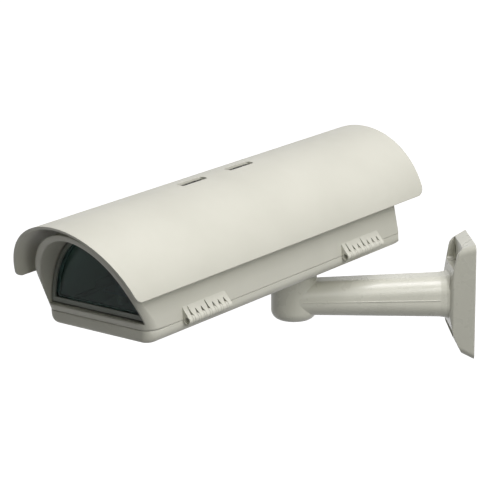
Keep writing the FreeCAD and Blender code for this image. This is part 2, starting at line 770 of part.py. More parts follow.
def cover_fingers(name, start):
    """Cover side of one hinge: fingers round the pin, under a web with pointed notches."""
    end = "%s + %s" % (start, hinge_length())
    web = slab(name + "_web", "xz", start, end, [
        ("shell_half - 2", "split_gap", None),
        (HINGE_X, "split_gap", None),
        (HINGE_X + " + knuckle_radius * 0.96", "hinge_level + knuckle_radius * 0.28", None),
        ("shell_half - 2", "hinge_level + web_height", None),
    ])
    notches = []
    for index in range(7):
        middle = "%s + knuckle_pitch * %d + (knuckle_pitch + finger_width) / 2" % (start, index)
        notches.append(web_notch("%s_notch_%d" % (name, index), middle, "-1", "notch_half", "notch_top"))
        if index in (0, 3):
            notches.append(web_notch("%s_spike_%d" % (name, index), middle, "3", "0.9", "spike_top"))
    fingers = common(name + "_round", hinge_barrel(name + "_barrel", start),
                     comb(name + "_comb", start, "finger_width", "0", 8))
    return fuse(name, fingers, cut(name + "_notched", web, *notches))


def pin_hole(name, start, play):
    """Run of the hinge pin, wider at the mouth of the front end."""
    end = "%s + %s + 1" % (start, hinge_length())
    run = rod(name + "_run", "y", "pin_radius + " + play, start + " - 1", end, HINGE_X, "hinge_level")
    mouth = rod(name + "_mouth", "y", "mouth_radius", start + " - 1", start + " + 2.2", HINGE_X,
                "hinge_level")
    return fuse(name, run, mouth)


def lug(name, back, low, high):
    """Block for one closure screw on the side away from the hinges."""
    corners = [
        ("-shell_half + 4.2", "%s - closure_half_width - 3" % back, None),
        ("-shell_half - closure_reach", "%s - closure_half_width" % back, "3"),
        ("-shell_half - closure_reach", "%s + closure_half_width" % back, "3"),
        ("-shell_half + 4.2", "%s + closure_half_width + 3" % back, None),
    ]
    return slab(name, "xy", low, high, corners)


def build_base_tray():
    floor = "tray_floor - tray_drop - 0.5"
    solids = [tray_dish(), tray_tongues("front_tongues", HINGE_FRONT),
              tray_tongues("rear_tongues", HINGE_REAR)]
    solids += [lug(name + "_tray_lug", y, "3.6 - tray_drop", "-split_gap") for name, y in CLOSURES]
    tools = [ring("seal_groove", "-split_gap - seal_depth", "split_gap", "seal_inset", "seal_width")]
    for index, (x, y) in enumerate(FOOT_SPOTS):
        solids.append(rod("foot_boss_%d" % index, "z", "6", floor, "-tray_drop + 9", x, y))
        tools.append(rod("foot_thread_%d" % index, "z", "foot_screw_radius + 0.05", "-tray_drop - 1",
                         "-tray_drop + 9.5", x, y))
    for index, (x, y) in enumerate(POST_SPOTS):
        solids.append(rod("slide_post_%d" % index, "z", "post_radius", floor, "slide_level", x, y))
        tools.append(rod("slide_thread_%d" % index, "z", "slide_screw_radius + 0.05", "slide_level - 11",
                         "slide_level + 1", x, y))
    for index, (x, y) in enumerate(BOARD_SPOTS):
        solids.append(rod("board_post_%d" % index, "z", "3.5", floor, "board_level", x, y))
        tools.append(rod("board_thread_%d" % index, "z", "board_screw_radius + 0.05", "board_level - 5",
                         "board_level + 1", x, y))
    for index, y in enumerate(GLAND_SPOTS):
        tools.append(rod("gland_hole_%d" % index, "z", "gland_radius + 0.3", "-tray_drop - 1", "0", GLAND_X,
                         y))
    for name, y in CLOSURES:
        tools.append(rod(name + "_closure_thread", "z", "closure_screw_radius + 0.7", "-tray_drop - 1", "1",
                         CLOSURE_X, y))
    tools += [pin_hole("front_pin_seat", HINGE_FRONT, "0.02"), pin_hole("rear_pin_seat", HINGE_REAR, "0.02")]
    node(cut("base_tray", fuse("tray_solid", *solids), *tools), "housing")


def build_tray_gasket():
    node(ring("tray_gasket", "-split_gap - seal_depth + 0.1", "split_gap - 0.05", "seal_inset + 0.15",
              "seal_width - 0.3"),
         "housing")


def build_hinge_pin(name, start):
    end = "%s + %s - 2.5" % (start, hinge_length())
    body = rod(name + "_body", "y", "pin_radius", start + " + pin_recess", end, HINGE_X, "hinge_level")
    node(group(name, body), "housing")


def build_camera_slide():
    low, high = "slide_level + 0.05", "slide_level + slide_thickness"
    plate = slab("slide_plate", "xy", low, high, rectangle(SLIDE_HALF, "slide_front", SLIDE_END, "5"))
    slot = slab("slide_slot", "xy", low + " - 1", high + " + 1",
                rectangle("camera_screw_radius + 0.5", "slide_front + 45", SLIDE_END + " - 45",
                          "camera_screw_radius + 0.45"))
    tools = [slot]
    for index, (x, y) in enumerate(POST_SPOTS):
        tools.append(rod("slide_hole_%d" % index, "z", "slide_screw_radius + 0.3", low + " - 1",
                         high + " + 1", x, y))
    node(cut("camera_slide", plate, *tools), "housing")


def pan_screw(name, radius, head, low, seat, x, y):
    """Screw with a round head above its seat and a cross slot."""
    cap = rod(name + "_cap", "z", "%s * 2" % radius, seat, "%s + %s" % (seat, head), x, y)
    shank = rod(name + "_shank", "z", radius, low, "%s + 0.5" % seat, x, y)
    slots = [
        box(name + "_cut_a", ("%s - 0.4" % x, "%s + 0.4" % x),
            ("%s - %s * 1.2" % (y, radius), "%s + %s * 1.2" % (y, radius)),
            ("%s + %s - 1" % (seat, head), "%s + %s + 1" % (seat, head))),
        box(name + "_cut_b", ("%s - %s * 1.2" % (x, radius), "%s + %s * 1.2" % (x, radius)),
            ("%s - 0.4" % y, "%s + 0.4" % y),
            ("%s + %s - 1" % (seat, head), "%s + %s + 1" % (seat, head))),
    ]
    return cut(name, fuse(name + "_solid", cap, shank), *slots)


def build_slide_screws():
    seat = "slide_level + slide_thickness + 0.05"
    screws = [pan_screw("slide_screw_%d" % index, "slide_screw_radius", "2.6", "slide_level - 9", seat, x, y)
              for index, (x, y) in enumerate(POST_SPOTS)]
    node(group("slide_screws", *screws), "housing")


def build_camera_screw():
    """Thumb screw that holds a camera from below, through the slide's long slot."""
    knob = rod("camera_knob", "z", "9", "slide_level - 5.5", "slide_level - 0.1", "0", "camera_screw_back")
    shank = rod("camera_shank", "z", "camera_screw_radius", "slide_level - 1", "slide_level + 9", "0",
                "camera_screw_back")
    slot = box("camera_screw_slot", ("-7", "7"), ("camera_screw_back - 0.6", "camera_screw_back + 0.6"),
               ("slide_level - 6", "slide_level - 4.2"))
    node(cut("camera_screw", fuse("camera_screw_solid", knob, shank), slot), "housing")


def build_terminal_board():
    low, high = "board_level + 0.05", "board_level + board_thickness"
    board = box("board_sheet", (BOARD_LEFT, BOARD_RIGHT), (BOARD_FRONT, BOARD_REAR), (low, high))
    holes = [rod("board_hole_%d" % index, "z", "board_screw_radius + 0.2", low + " - 1", high + " + 1", x, y)
             for index, (x, y) in enumerate(BOARD_SPOTS)]
    node(cut("terminal_board", board, *holes), "housing")


def build_board_screws():
    seat = "board_level + board_thickness + 0.05"
    screws = [pan_screw("board_screw_%d" % index, "board_screw_radius", "1.8", "board_level - 4.5", seat, x,
                        y)
              for index, (x, y) in enumerate(BOARD_SPOTS)]
    node(group("board_screws", *screws), "housing")


def build_terminal_block():
    """Row of cable clamps with a mouth and a screw each."""
    low = "board_level + board_thickness + 0.05"
    middle = "(%s + %s) / 2" % (BOARD_FRONT, BOARD_REAR)
    body = box("block_body", (BOARD_LEFT + " + 12", BOARD_RIGHT + " - 12"),
               (middle + " - 5", middle + " + 5"),
               (low, low + " + 11"))
    tools = []
    for index in range(6):
        x = "%s + 15 + (%s - %s - 30) / 5 * %d" % (BOARD_LEFT, BOARD_RIGHT, BOARD_LEFT, index)
        tools.append(box("block_mouth_%d" % index, (x + " - 1.7", x + " + 1.7"),
                         (middle + " - 6", middle + " + 1"),
                         (low + " + 1.5", low + " + 5.5")))
        tools.append(rod("block_screw_%d" % index, "z", "1.7", low + " + 9", low + " + 12", x, middle))
    node(cut("terminal_block", body, *tools), "housing")


def build_glands():
    """Cable glands with lock nuts, dome caps and blanking plugs, under the rear of the tray."""
    floor = "-tray_drop - 0.05"
    inner = "tray_floor - tray_drop + 0.05"
    for index, y in enumerate(GLAND_SPOTS):
        tag = "%d" % (index + 1)
        flange = hexagon("gland_flange_" + tag, "z", "gland_hex", floor + " - 5", floor, GLAND_X, y)
        neck = rod("gland_neck_" + tag, "z", "gland_radius", floor + " - 4", "tray_floor - tray_drop + 7",
                   GLAND_X, y)
        collar = rod("gland_collar_" + tag, "z", "gland_radius - 0.5", floor + " - 11", floor + " - 4",
                     GLAND_X, y)
        way = rod("gland_way_" + tag, "z", "gland_radius - 2.5", floor + " - 12", "0", GLAND_X, y)
        node(cut("gland_body_" + tag, fuse("gland_solid_" + tag, flange, neck, collar), way), "housing")
        nut = hexagon("gland_nut_solid_" + tag, "z", "gland_hex", inner, inner + " + 4.5", GLAND_X, y)
        thread = rod("gland_nut_hole_" + tag, "z", "gland_radius + 0.05", inner + " - 1", inner + " + 6",
                     GLAND_X, y)
        node(cut("gland_nut_" + tag, nut, thread), "housing")
        skirt = hexagon("gland_cap_hex_" + tag, "z", "gland_hex - 0.6", floor + " - 12.5", floor + " - 5.1",
                        GLAND_X, y)
        dome = cone("gland_cap_dome_" + tag, "gland_radius - 1", "gland_radius + 1.6", floor + " - 15.5",
                    floor + " - 12.5",
                    GLAND_X, y)
        cup = rod("gland_cap_cup_" + tag, "z", "gland_radius - 0.4", floor + " - 11.1", floor + " - 5",
                  GLAND_X, y)
        mouth = rod("gland_cap_mouth_" + tag, "z", "gland_radius - 3", floor + " - 16", floor + " - 11",
                    GLAND_X, y)
        node(cut("gland_cap_" + tag, fuse("gland_cap_solid_" + tag, skirt, dome), cup, mouth), "housing")
        plug = rod("gland_plug_body_" + tag, "z", "gland_radius - 3.1", floor + " - 14.8", floor + " - 4",
                   GLAND_X, y)
        node(group("gland_plug_" + tag, plug), "housing")


# Cover, in the housing frame

def raked_plan(name, plan, lean):
    """A plan raised above the split, leaning forwards as it rises."""
    item = extrude(name, outline(name + "_plan", "xy", "0", plan), (0, 0, 1), "100 * sqrt(1 + %s ^ 2)" % lean)
    return bind(item, Dir__y="-" + lean)


def cover_block():
    """Solid outside shape of the cover: an arch with a raked front and a leaning rear."""
    front = raked_plan("cover_front", rectangle("shell_half + 0.2", "0", "shell_rear + 60", "corner_round"),
                       "cover_rake")
    rear = raked_plan("cover_rear", rectangle("shell_half + 0.2", "-60", "shell_rear", "rear_round"),
                      "rear_rake")
    above = box("cover_above", ("-shell_half - 5", "shell_half + 5"), ("-70", "shell_rear + 5"),
                ("split_gap", "cover_rise + 10"))
    return common("cover_block", arch("cover_arch", "0", "-60", "shell_rear + 1"), front, rear, above)


def cover_cavity():
    """Space inside the cover behind the window."""
    hollow = arch_above("cavity_arch", "cover_wall", "-1", "bezel_depth", "shell_rear")
    plan = rectangle("shell_half", "-60", "shell_rear - cover_wall", "rear_round - cover_wall")
    return common("cover_cavity", hollow, raked_plan("cavity_rear", plan, "rear_rake"))


def inside_cover(name, *items):
    """Bosses are trimmed to the cover's own section."""
    trim = arch(name + "_trim", "0.5", "-60", "shell_rear")
    return common(name, fuse(name + "_full", *items), trim)


BOSS_SPOTS = [(side + "(shell_half / 2 - boss_side)", along) for side in ("-", "")
              for along in ("boss_front", "(shell_rear - boss_rear)")]
WINDOW_SPOTS = [a + b for a in ("-", "") for b in ("(shell_half - window_screw_margin)",
                                                   "window_screw_inner")]


def build_cover_shell():
    opening = arch_above("bezel_opening", "opening_inset", "opening_sill", "-60", "bezel_depth + 0.1")
    bead_inner = slab("bead_inner", "xy", "-1", "split_gap + bead_height + 1",
                      shell_plan("shell_half - tray_wall", "tray_wall", "shell_rear - tray_wall",
                                 "corner_round",
                                 "rear_round - tray_wall"))
    bead_outer = slab("bead_outer", "xy", "split_gap", "split_gap + bead_height",
                      shell_plan("shell_half - 1.5", "1.5", "shell_rear - 1.5", "corner_round - 1.5",
                                 "rear_round - 1.5"))
    solids = [cut("cover_skin", cover_block(), cover_cavity(), opening),
              cut("cover_bead", bead_outer, bead_inner)]
    solids += [cover_fingers("front_fingers", HINGE_FRONT), cover_fingers("rear_fingers", HINGE_REAR)]
    solids += [lug(name + "_cover_lug", y, "split_gap", "closure_height + split_gap") for name, y in CLOSURES]
    pads = [rod("pad_%d" % index, "z", "boss_radius + 1", "pad_level", "100", x, y)
            for index, (x, y) in enumerate(BOSS_SPOTS)]
    pads.append(box("clamp_boss", ("-6", "6"), ("bezel_depth + 6.5", "bezel_depth + 18"),
                    ("pad_level + 2", "100")))
    solids.append(inside_cover("cover_pads", *pads))
    tools = [rod("pad_hole_%d" % index, "z", "shield_screw_radius + 0.3", "pad_level - 1", "100", x, y)
             for index, (x, y) in enumerate(BOSS_SPOTS)]
    tools.append(rod("clamp_thread", "z", "window_screw_radius + 0.05", "pad_level + 1", "pad_level + 9", "0",
                     "bezel_depth + 12.5"))
    for index, x in enumerate(WINDOW_SPOTS):
        tools.append(rod("window_thread_%d" % index, "y", "window_screw_radius + 0.05", "1.2",
                         "bezel_depth + 1", x,
                         "window_screw_level"))
    for name, y in CLOSURES:
        tools.append(rod(name + "_closure_hole", "z", "closure_screw_radius + 0.3", "-1",
                         "closure_height + 2", CLOSURE_X, y))
    tools += [pin_hole("front_pin_run", HINGE_FRONT, "pin_fit"),
              pin_hole("rear_pin_run", HINGE_REAR, "pin_fit")]
    shell = cut("cover_shell", fuse("cover_solid", *solids), *tools)
    shell.Refine = False
    node(shell, "housing")


def build_window_gasket():
    start, end = "bezel_depth + 0.05", "bezel_depth + 1"
    band = arch_above("gasket_band", "frame_flange_inset", "opening_sill - 1.8", start, end)
    foot = box("gasket_foot", ("8 - shell_half", "shell_half - 8"), (start, end),
               ("frame_flange_sill", "opening_sill"))
    hole = arch_above("gasket_hole", "frame_inset - 0.1", "frame_sill - 0.1", "bezel_depth - 1",
                      "bezel_depth + 2")
    holes = [rod("gasket_screw_hole_%d" % index, "y", "window_screw_radius + 0.3", "bezel_depth - 1",
                 "bezel_depth + 2", x,
                 "window_screw_level") for index, x in enumerate(WINDOW_SPOTS)]
    node(cut("window_gasket", fuse("gasket_solid", band, foot), hole, *holes), "housing")


def build_window_frame():
    start, end = "bezel_depth + 1.05", "bezel_depth + 3.5"
    flange = arch_above("flange_band", "frame_flange_inset", "opening_sill - 1.8", start, end)
    foot = box("flange_foot", ("8 - shell_half", "shell_half - 8"), (start, end),
               ("frame_flange_sill", "frame_sill + 1"))
    neck = arch_above("frame_neck", "frame_inset", "frame_sill", "window_face", end)
    sight = arch_above("frame_sight", "frame_lip_inset", "frame_lip_sill", "window_face - 1", end + " + 1")
    seat = arch_above("frame_seat", "glass_inset - 0.1", "glass_sill - 0.1", "window_face + frame_lip",
                      end + " + 1")
    holes = [rod("flange_hole_%d" % index, "y", "window_screw_radius + 0.2", "bezel_depth",
                 "bezel_depth + 5", x,
                 "window_screw_level") for index, x in enumerate(WINDOW_SPOTS)]
    node(cut("window_frame", fuse("frame_solid", flange, foot, neck), sight, seat, *holes), "housing")


def build_window_glass():
    front = "window_face + frame_lip + 0.05"
    node(arch_above("window_glass", "glass_inset", "glass_sill", front, front + " + glass_thickness"),
         "housing")


def build_glass_retainer():
    front = "window_face + frame_lip + glass_thickness + 0.1"
    band = arch_above("retainer_band", "glass_inset", "glass_sill", front, "bezel_depth + 3.5")
    hole = arch_above("retainer_hole", "glass_inset + 3", "glass_sill + 3", front + " - 1", "bezel_depth + 5")
    node(cut("glass_retainer", band, hole), "housing")


def build_window_screws():
    screws = []
    back = "bezel_depth + 3.55"
    for index, x in enumerate(WINDOW_SPOTS):
        head = rod("window_screw_head_%d" % index, "y", "2.4", back, back + " + 1.8", x, "window_screw_level")
        shank = rod("window_screw_shank_%d" % index, "y", "window_screw_radius", "1.5", back + " + 1", x,
                    "window_screw_level")
        socket = hexagon("window_screw_socket_%d" % index, "y", "1.2", back + " + 0.8", back + " + 2", x,
                         "window_screw_level")
        screws.append(cut("window_screw_%d" % index, fuse("window_screw_solid_%d" % index, head, shank),
                          socket))
    node(group("window_screws", *screws), "housing")


def build_window_clamp():
    """Bent plate that holds the top of the window frame."""
    back = "bezel_depth + 3.55"
    foot = box("clamp_foot", ("-5.5", "5.5"), (back, "bezel_depth + 17.5"),
               ("pad_level + 0.4", "pad_level + 1.95"))
    toe = box("clamp_toe", ("-5.5", "5.5"), (back, back + " + 1.5"), ("pad_level + 0.4", "pad_level + 5.5"))
    hole = rod("clamp_hole", "z", "window_screw_radius + 0.2", "pad_level - 1", "pad_level + 3", "0",
               "bezel_depth + 12.5")
    node(cut("window_clamp", fuse("clamp_solid", foot, toe), hole), "housing")


def build_clamp_screw():
    seat = "pad_level + 0.35"
    head = rod("clamp_screw_head", "z", "window_screw_radius * 2", seat + " - 2", seat, "0",
               "bezel_depth + 12.5")
    shank = rod("clamp_screw_shank", "z", "window_screw_radius", seat + " - 1", "pad_level + 8", "0",
                "bezel_depth + 12.5")
    socket = hexagon("clamp_screw_socket", "z", "1.4", seat + " - 3", seat + " - 1", "0",
                     "bezel_depth + 12.5")
    node(cut("clamp_screw", fuse("clamp_screw_solid", head, shank), socket), "housing")


def shield_rod(name, inset):
    return rod(name, "y", "%s - (%s)" % (SHIELD_RADIUS, inset), "-80", SHIELD_REAR + " + 20", "0",
               "shield_centre")


def shield_slot(name, middle):
    front, rear = "%s - slot_length / 2" % middle, "%s + slot_length / 2" % middle
    crown = "shield_centre + " + SHIELD_RADIUS
    return slab(name, "xy", crown + " - 12", crown + " + 5", rectangle("slot_width / 2", front, rear, "3"))


def build_sunshield():
    """Rolled sheet over the cover, on four blind bosses."""
    top = "shield_centre + %s + 3" % SHIELD_RADIUS
    side = [
        ("-shield_nose", "shield_edge", "shield_corner"),
        (SHIELD_REAR, "shield_edge", "shield_corner"),
        (SHIELD_REAR, top, None),
        ("-shield_nose - cover_rake * (%s - shield_edge)" % top, top, None),
    ]
    blank = slab("shield_blank", "yz", "-%s - 1" % SHIELD_RADIUS, SHIELD_RADIUS + " + 1", side)
    sheet_band = common("shield_band", cut("shield_tube", shield_rod("shield_outside", "0"),
                                           shield_rod("shield_inside", "shield_sheet")), blank)
    slots = [shield_slot("slot_front", "slot_first"), shield_slot("slot_rear", "slot_first + slot_pitch")]
    posts = fuse("shield_posts", *[rod("shield_post_%d" % index, "z", "boss_radius", "pad_level - 4", "100",
                                       x, y)
                                   for index, (x, y) in enumerate(BOSS_SPOTS)])
    bosses = common("shield_bosses", posts, shield_rod("boss_limit", "0.8"))
    rest = arch("shield_rest", "-0.3", "-60", SHIELD_REAR)
    threads = [rod("shield_thread_%d" % index, "z", "shield_screw_radius + 0.05", "pad_level - 4",
                   THREAD_TOP, x, y)
               for index, (x, y) in enumerate(BOSS_SPOTS)]
    carved = cut("shield_carved", fuse("shield_solid", sheet_band, bosses), rest)
    node(cut("sunshield", carved, *slots, *threads), "housing")


def build_shield_screws():
    screws = []
    seat = "pad_level - 1.3"
    for index, (x, y) in enumerate(BOSS_SPOTS):
        head = rod("shield_screw_head_%d" % index, "z", "shield_screw_radius * 2", seat + " - 2.6", seat, x,
                   y)
        shank = rod("shield_screw_shank_%d" % index, "z", "shield_screw_radius", seat + " - 1",
                    THREAD_TOP + " - thread_spare", x, y)
        socket = hexagon("shield_screw_socket_%d" % index, "z", "1.7", seat + " - 4", seat + " - 1.2", x, y)
        screws.append(cut("shield_screw_%d" % index, fuse("shield_screw_solid_%d" % index, head, shank),
                          socket))
    node(group("shield_screws", *screws), "housing")


def build_shield_washers():
    washers = []
    low, high = "pad_level - 1.25", "pad_level - 0.05"
    for index, (x, y) in enumerate(BOSS_SPOTS):
        disc = rod("shield_washer_disc_%d" % index, "z", "boss_radius - 0.5", low, high, x, y)
        hole = rod("shield_washer_hole_%d" % index, "z", "shield_screw_radius + 0.3", low + " - 1",
                   high + " + 1", x, y)
        washers.append(cut("shield_washer_%d" % index, disc, hole))
    node(group("shield_washers", *washers), "housing")


def build_closure_screw(name, back):
    """Captive screw that draws the cover down on to the tray."""
    seat = "closure_height + split_gap + 0.05"
    head = rod(name + "_head", "z", "closure_screw_radius * 1.7", seat, seat + " + 5", CLOSURE_X, back)
    shank = rod(name + "_shank", "z", "closure_screw_radius", "-tray_drop + 4.5", seat + " + 1", CLOSURE_X,
                back)
    socket = hexagon(name + "_socket", "z", "2.3", seat + " + 2.2", seat + " + 6", CLOSURE_X, back)
    node(cut(name, fuse(name + "_solid", head, shank), socket), "housing")


def build_all():
    fill_sheet()
    build_wall_bracket()
    build_cable_grommet()
    build_pan_lock_screw()
    build_swivel()
    build_pan_bolt()
    build_pan_washer()
    build_tilt_bolt()
    build_tilt_nut()
    build_tilt_foot()
    build_foot_screws()
    build_base_tray()
    build_tray_gasket()
    build_hinge_pin("hinge_pin_front", HINGE_FRONT)
    build_hinge_pin("hinge_pin_rear", HINGE_REAR)
    build_camera_slide()
    build_slide_screws()
    build_camera_screw()
    build_terminal_board()
    build_board_screws()
    build_terminal_block()
    build_glands()
    build_cover_shell()
    build_window_gasket()
    build_window_frame()
    build_window_glass()
    build_glass_retainer()
    build_window_screws()
    build_window_clamp()
    build_clamp_screw()
    build_sunshield()
    build_shield_screws()
    build_shield_washers()
    for name, back in CLOSURES:
        build_closure_screw("closure_screw_" + name, back)
    doc.recompute()


def check_all():
    """Every object must have recomputed without an error."""
    for item in doc.Objects:
        bad = [word for word in item.State if word in ("Invalid", "Error")]
        if bad:
            raise RuntimeError("%s did not recompute: %s" % (item.Name, bad))
        if hasattr(item, "Shape") and (item.Shape.isNull() or not item.Shape.isValid()):
            raise RuntimeError("%s has no valid shape" % item.Name)


def export_nodes():
    for item in nodes:
        item.Label = item.Name
        item.Shape.exportStep("parts/%s.step" % item.Name)
        print("%-20s %9.0f mm3, %d solids" % (item.Name, item.Shape.Volume, len(item.Shape.Solids)))


build_all()
check_all()
export_nodes()
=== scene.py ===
import json
import math
from typing import NamedTuple

import bmesh
import bpy
from mathutils import Matrix, Vector


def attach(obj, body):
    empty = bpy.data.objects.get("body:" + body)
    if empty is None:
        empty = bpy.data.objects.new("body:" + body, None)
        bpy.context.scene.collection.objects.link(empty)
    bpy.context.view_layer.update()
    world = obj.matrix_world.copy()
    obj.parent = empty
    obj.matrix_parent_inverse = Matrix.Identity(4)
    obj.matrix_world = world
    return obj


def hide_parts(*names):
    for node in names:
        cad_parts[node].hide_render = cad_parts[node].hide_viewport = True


# Looks for the camera housing. Everything is in metres, in the bracket's frame:
# origin on the wall plate's back face, -Y out from the wall, +Z up.

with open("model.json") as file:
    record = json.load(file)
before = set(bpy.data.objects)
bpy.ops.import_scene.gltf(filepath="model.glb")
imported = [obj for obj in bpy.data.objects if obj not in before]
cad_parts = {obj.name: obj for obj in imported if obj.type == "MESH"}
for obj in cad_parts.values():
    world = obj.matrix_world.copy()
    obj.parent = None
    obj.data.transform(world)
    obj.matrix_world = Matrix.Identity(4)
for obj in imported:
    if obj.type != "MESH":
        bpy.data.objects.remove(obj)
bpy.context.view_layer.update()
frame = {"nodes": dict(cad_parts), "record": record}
NODES = frame["nodes"]

# The housing's own axes: the middle of its front edge on the split line, and the directions to the
# hinge side, from front to rear and up
HOUSING_FRONT = Vector((0.198315, -0.359230, 0.033336))
HOUSING_ACROSS = Vector((0.684547, 0.728969, 0.0))
HOUSING_ALONG = Vector((-0.727193, 0.682880, 0.069756))
HOUSING_UP = HOUSING_ACROSS.cross(HOUSING_ALONG)

# Front corners of tray and cover, seen from above. The smallest corner is the one of the CAD tray.
SHELL_HALF = 0.0645
CORNER_RADIUS = 0.012
SMALLEST_CORNER = 0.0045
CORNER_STEPS = 14
SIDES = (-1.0, 1.0)

# Levels above the split line, and how far the window's face leans back for each metre of height
TRAY_BOTTOM = -0.0126
TRAY_TOP = -0.0002
COVER_HEIGHT = 0.09
WINDOW_LEAN = 0.379

# Roundings of the tray's lower edge, at its sides and at its front
SIDE_ROUND = 0.0095
FRONT_ROUND = 0.005
ROUND_STEPS = 10

# Rim, seal groove and seal: depths inside the skin from outer to inner wall, and levels
RIM = (0.0, 0.0035)
GROOVE = (0.0012, 0.0032)
GASKET = (0.00135, 0.00305)
GROOVE_FLOOR = TRAY_TOP - 0.0019
GASKET_LEVELS = (-0.0018, 0.00015)

# How far the cutters run past the castings: along the tray, outside the skin, outwards, and up or down
CORNER_REACH = 0.016
CLEAR_OF_SKIN = 0.00005
OVERSHOOT = 0.005
LEVEL_SPARE = 0.001

# Vertices closer than this are one, and edges sharper than this stay sharp
MERGE_DISTANCE = 1e-6
SHARP_ANGLE = math.radians(16.0)

# Radius over which edges look softened, near the front corners and elsewhere, and the depth
# behind the front over which one fades into the other
SOFT_CORNER = 0.0025
FINE_EDGE = 0.0007
SOFT_DEPTH = (0.012, 0.028)

# Studio: the floor's size and level, the distances from its middle over which its glow grows, the
# glow's share at either end, and the soft light that the object gets from all sides
FLOOR_SIZE = 40.0
FLOOR_LEVEL = -0.62
GLOW_REACH = (0.4, 1.3)
GLOW_SHARE = (0.6, 1.0)
SKY_LEVEL = 0.13

# Lamps: place, size, watts and colour, all aimed at one point
LIGHT_TARGET = Vector((0.05, -0.2, 0.08))
COOL, WHITE = (1.0, 0.985, 1.045), (1.0, 1.0, 1.0)
LIGHTS = {
    "top_light": ((0.49, 0.28, 2.08), 1.0, 23.5, COOL),
    "key_light": ((1.00, 0.85, 1.64), 1.0, 17.0, COOL),
    "side_light": ((1.35, 0.40, 0.65), 0.7, 9.5, WHITE),
}

# Camera, fitted to the object's edges in the photograph: its place, its axes, and its focal length
# in pixels of a picture 500 pixels wide
CAMERA_PLACE = Vector((1.90006, -0.30126, 0.49734))
CAMERA_RIGHT = Vector((0.046158, 0.998921, -0.005116))
CAMERA_DOWN = Vector((0.229681, -0.015597, -0.973141))
CAMERA_AHEAD = Vector((-0.972171, 0.043743, -0.230153))
FOCAL_PIXELS = 2007.7
PICTURE_PIXELS = 500.0
SENSOR_WIDTH = 36.0


class Finish(NamedTuple):
    """One finish: noise scales are in cells per metre, relief and edge in metres."""
    base: tuple
    gloss: float
    colors: tuple
    color_scale: float
    rough: tuple
    rough_scale: float
    relief_scale: float = 0.0
    relief: float = 0.0
    edge: float = 0.0
    metallic: float = 0.0
    stretch: tuple = None


PAINT_LOW, PAINT_HIGH = (0.540, 0.535, 0.450), (0.580, 0.574, 0.486)
PAINT = Finish(PAINT_HIGH, 0.42, (PAINT_LOW, PAINT_HIGH), 14.0, (0.40, 0.50), 60.0,
               900.0, 0.00003, edge=FINE_EDGE)
FINISHES = {
    "housing_paint": PAINT,
    "casting_paint": PAINT,
    "bracket_paint": Finish(
        PAINT_HIGH, 0.3, ((0.565, 0.562, 0.470), (0.605, 0.602, 0.510)), 18.0, (0.24, 0.34), 70.0,
        420.0, 0.00006, edge=0.0012),
    "frame_paint": Finish(
        (0.155, 0.168, 0.142), 0.5, ((0.145, 0.158, 0.132), (0.165, 0.178, 0.152)), 25.0,
        (0.45, 0.55), 80.0, 900.0, 0.00003, edge=0.0004),
    "bare_aluminium": Finish(
        (0.55, 0.56, 0.57), 0.35, ((0.50, 0.51, 0.52), (0.60, 0.61, 0.62)), 30.0,
        (0.30, 0.45), 50.0, 600.0, 0.00002, metallic=1.0, stretch=(1.0, 12.0, 1.0)),
    "steel": Finish(
        (0.50, 0.50, 0.49), 0.3, ((0.44, 0.44, 0.43), (0.56, 0.56, 0.54)), 300.0,
        (0.22, 0.38), 500.0, 1500.0, 0.00002, edge=0.0003, metallic=1.0),
    "black_rubber": Finish(
        (0.02, 0.02, 0.02), 0.7, ((0.014, 0.014, 0.014), (0.03, 0.03, 0.028)), 200.0,
        (0.6, 0.8), 300.0, 1200.0, 0.00004),
    "gland_plastic": Finish(
        (0.27, 0.27, 0.25), 0.5, ((0.25, 0.25, 0.235), (0.29, 0.29, 0.275)), 90.0,
        (0.42, 0.56), 200.0, 1500.0, 0.00003, edge=0.0005),
    "grey_plastic": Finish(
        (0.12, 0.16, 0.13), 0.5, ((0.11, 0.15, 0.12), (0.135, 0.175, 0.145)), 120.0,
        (0.42, 0.56), 200.0, 1500.0, 0.00003, edge=0.0003),
    "board_green": Finish(
        (0.015, 0.09, 0.035), 0.35, ((0.012, 0.075, 0.03), (0.02, 0.11, 0.045)), 250.0,
        (0.28, 0.42), 300.0, 900.0, 0.00002),
    "window_glass": Finish(
        (0.34, 0.46, 0.46), 0.03, ((0.30, 0.42, 0.42), (0.38, 0.50, 0.50)), 9.0,
        (0.02, 0.05), 40.0),
}

# The pane is coated, so it reflects less than bare glass
PANE_INDEX = 1.17


# Materials

